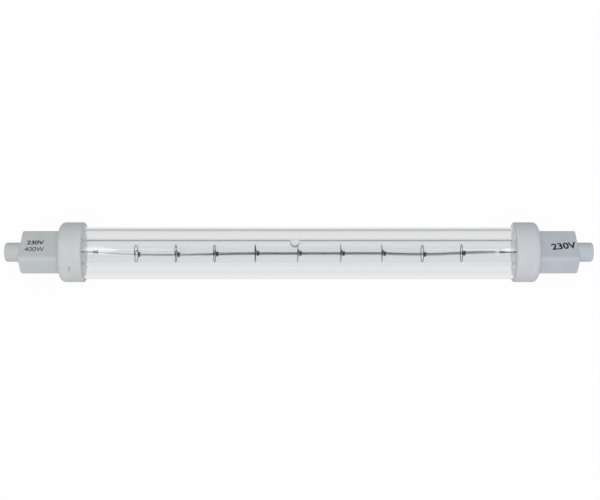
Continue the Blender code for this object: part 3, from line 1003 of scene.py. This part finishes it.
def cement_paste(name, colour):
    """Dry cement: coarse, matt and slightly stained."""
    material, tree, shader = new_material(name)
    where = places(tree)
    grit = noise(tree, where, CEMENT_GRIT, 4.0, 0.65)
    stain = noise(tree, where, CEMENT_STAIN)
    stained = mixed(tree, ranged(tree, stain, 0.0, 1.0), scaled(colour, 0.88), scaled(colour, 1.05))
    gritty = mixed(tree, ranged(tree, grit, 0.0, 0.3), stained, scaled(colour, 0.7))
    tree.links.new(gritty, shader.inputs["Base Color"])
    tree.links.new(ranged(tree, grit, 0.8, 0.97), shader.inputs["Roughness"])
    tree.links.new(relief(tree, grit, CEMENT_GRIT_DEPTH), shader.inputs["Normal"])
    return material


def ink(name, colour):
    """Fired black ink, thin in places so that it looks greyer there."""
    material, tree, shader = new_material(name)
    worn = noise(tree, places(tree), INK_WEAR, 3.0, 0.6)
    toned = mixed(tree, ranged(tree, worn, 0.0, 1.0, 0.5, 0.8), colour, scaled(colour, 5.0))
    tree.links.new(toned, shader.inputs["Base Color"])
    tree.links.new(ranged(tree, worn, 0.5, 0.75), shader.inputs["Roughness"])
    tree.links.new(relief(tree, worn, INK_WEAR_DEPTH), shader.inputs["Normal"])
    return material


# The lamp


def dress(obj, material, replaced=()):
    """Gives a piece its material and its place among the nodes."""
    obj.data.materials.clear()
    obj.data.materials.append(material)
    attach(obj, "root")
    if replaced:
        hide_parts(*replaced)
    return obj


def redress(name, material):
    """Gives a CAD node that stays a material of its own."""
    obj = frame["nodes"][name]
    obj.data.materials.clear()
    obj.data.materials.append(material)


# Soft light passes through the clear tubes to the cups and wires, as direct light does
for obj, name, node in (
    (jacket(), "jacket_quartz", "outer_jacket"),
    (envelope(), "tube_quartz", "inner_envelope"),
):
    dress(obj, quartz(name), [node])
    obj.visible_diffuse = False

# The coil's paler tungsten is painted light; the supports keep the darker tungsten
coil_tungsten = metal("coil_tungsten", COIL_COLOUR, 0.35, 0.55, TUNGSTEN_GRAIN)
dress(filament(), coil_tungsten, ["filament"])
tungsten = metal("tungsten", SUPPORT_COLOUR, 0.35, 0.55, TUNGSTEN_GRAIN)
for index, support in enumerate(supports()):
    dress(support, tungsten, [f"filament_support_{index + 1}"])

molybdenum = metal("molybdenum", MOLYBDENUM_COLOUR, 0.3, 0.5, MOLYBDENUM_GRAIN, (0.2, 1.0, 1.0))
nickel = metal("nickel", NICKEL_COLOUR, 0.25, 0.42, NICKEL_GRAIN)
paste = cement_paste("cement", CEMENT_COLOUR)
for side, collar_colour, cup_painted_light_colour, cap_colour, groove in (
    ("left", LEFT_COLLAR_COLOUR, LEFT_CUP_PAINTED_LIGHT_COLOUR, LEFT_CAP_COLOUR, LEFT_DENT),
    ("right", RIGHT_COLLAR_COLOUR, RIGHT_CUP_PAINTED_LIGHT_COLOUR, RIGHT_CAP_COLOUR, RIGHT_DENT),
):
    ring_ceramic = ceramic(side + "_collar_ceramic", collar_colour, cup_painted_light_colour)
    cap_ceramic = ceramic(side + "_cap_ceramic", cap_colour)
    for obj, material, node, slot in (
        (dent(collar(side + "_ring"), *groove), ring_ceramic, "collar", "collar_ceramic"),
        (contact_cap(side + "_cap"), cap_ceramic, "contact_cap", "cap_ceramic"),
        (contact(side + "_button"), nickel, "contact", "contact_metal"),
        (sleeve(side + "_sleeve"), molybdenum, "crimp_sleeve", "molybdenum"),
        (inner_lead(side + "_lead_wire"), molybdenum, "inner_lead", "molybdenum"),
    ):
        if side == "left":
            to_left_end(obj)
        dress(obj, material, [f"{side}_{node}"])
    redress(side + "_cement", paste)
    redress(side + "_foil", molybdenum)
    redress(side + "_outer_lead", nickel)

print_ink = ink("ink", INK_COLOUR)
for words, *layout in MARKS:
    dress(mark(words, *layout), print_ink)


# Floor, light and camera


def floor_material():
    """A white floor. Seen by the camera it is nearly plain white and keeps a faint shadow."""
    material, tree, shader = new_material("floor_white")
    where = places(tree)
    mottle = noise(tree, where, FLOOR_MOTTLE)
    tree.links.new(mixed(tree, mottle, FLOOR_DARK, FLOOR_PALE), shader.inputs["Base Color"])
    shader.inputs["Roughness"].default_value = 0.9
    shader.inputs["Specular IOR Level"].default_value = 0.0
    path = add(tree, "LightPath")
    white = add(tree, "Emission", {"Color": opaque(WHITE), "Strength": CAMERA_WHITE_LEVEL})
    whiteness = add(
        tree, "Math", {0: path.outputs["Is Camera Ray"], 1: CAMERA_WHITE}, operation="MULTIPLY"
    )
    pale = mixed_shaders(
        tree, whiteness.outputs[0], shader.outputs["BSDF"], white.outputs["Emission"]
    )
    beyond = distance_along(tree, where, "Y")
    level = ranged(tree, beyond, FLOOR_NEAR_LEVEL, FLOOR_FAR_LEVEL, FLOOR_NEAR, FLOOR_FAR)
    behind_glass = add(
        tree, "Emission", {"Color": opaque(FLOOR_THROUGH_GLASS), "Strength": level}
    )
    through = larger(tree, path.outputs["Is Transmission Ray"], path.outputs["Is Glossy Ray"])
    surface = mixed_shaders(tree, through, pale, behind_glass.outputs["Emission"])
    tree.links.new(surface, tree.nodes["Material Output"].inputs["Surface"])
    return material


def floor():
    mesh = bpy.data.meshes.new("floor")
    half = FLOOR_SIZE / 2
    corners = [(-half, -half, 0.0), (half, -half, 0.0), (half, half, 0.0), (-half, half, 0.0)]
    mesh.from_pydata(corners, [], [(0, 1, 2, 3)])
    obj = linked("floor", mesh)
    obj.location.z = floor_z
    mesh.materials.append(floor_material())


def world():
    """White behind the camera's view, grey where glass and metal see it, and soft ambient light."""
    made = bpy.data.worlds.new("studio")
    bpy.context.scene.world = made
    made.use_nodes = True
    tree = made.node_tree
    background = tree.nodes["Background"]
    path = add(tree, "LightPath")
    seen = larger(tree, path.outputs["Is Transmission Ray"], path.outputs["Is Glossy Ray"])
    level = ranged(tree, seen, AMBIENT, MIRRORED, 0.0, 1.0)
    strength = add(
        tree, "Mix", {0: path.outputs["Is Camera Ray"], 2: level, 3: 1.0}, data_type="FLOAT"
    )
    tree.links.new(strength.outputs[0], background.inputs["Strength"])
    background.inputs["Color"].default_value = opaque(WHITE)


def upwards(elevation):
    """The direction from the lamp up towards the camera's side, at this elevation."""
    return Vector((0.0, -math.cos(elevation), math.sin(elevation)))


def lights():
    """A broad key from the camera's side, and a narrow strip over each end that shows in the glass."""
    key_data = bpy.data.lights.new("key", "SUN")
    key_data.energy = KEY_LEVEL * math.pi
    key_data.angle = KEY_SPREAD
    key = linked("key", key_data)
    key.rotation_euler = upwards(KEY_ELEVATION).to_track_quat("Z", "Y").to_euler()
    key.visible_glossy = False
    key.visible_transmission = False
    up = upwards(STRIP_ELEVATION)
    for side in (-1, 1):
        strip_data = bpy.data.lights.new("strip", "AREA")
        strip_data.shape = "RECTANGLE"
        strip_data.size = STRIP_LENGTH
        strip_data.size_y = STRIP_WIDTH
        strip_data.energy = STRIP_LEVEL * math.pi * STRIP_LENGTH * STRIP_WIDTH
        strip = linked("strip", strip_data)
        strip.location = up * STRIP_DISTANCE
        strip.location.x = side * (STRIP_START + STRIP_LENGTH / 2)
        strip.rotation_euler = up.to_track_quat("Z", "Y").to_euler()
        strip.visible_camera = False
        strip.visible_diffuse = False


def camera():
    data = bpy.data.cameras.new("camera")
    data.lens = CAMERA_LENS
    data.sensor_width = CAMERA_SENSOR
    data.clip_start = CAMERA_CLIP
    obj = linked("camera", data)
    back = upwards(CAMERA_ELEVATION)
    up = Vector((0.0, math.sin(CAMERA_ELEVATION), math.cos(CAMERA_ELEVATION)))
    target = Vector((TARGET_RIGHT, 0.0, 0.0)) + up * TARGET_UP
    obj.location = target + back * CAMERA_DISTANCE
    obj.rotation_euler = back.to_track_quat("Z", "Y").to_euler()
    bpy.context.scene.camera = obj


floor()
world()
lights()
camera()
bpy.context.scene.view_settings.view_transform = "Standard"
bpy.context.scene.cycles.max_bounces = LIGHT_BOUNCES
bpy.context.scene.cycles.transmission_bounces = LIGHT_BOUNCES
bpy.context.scene.cycles.glossy_bounces = LIGHT_BOUNCES
bpy.context.scene.cycles.transparent_max_bounces = LIGHT_BOUNCES
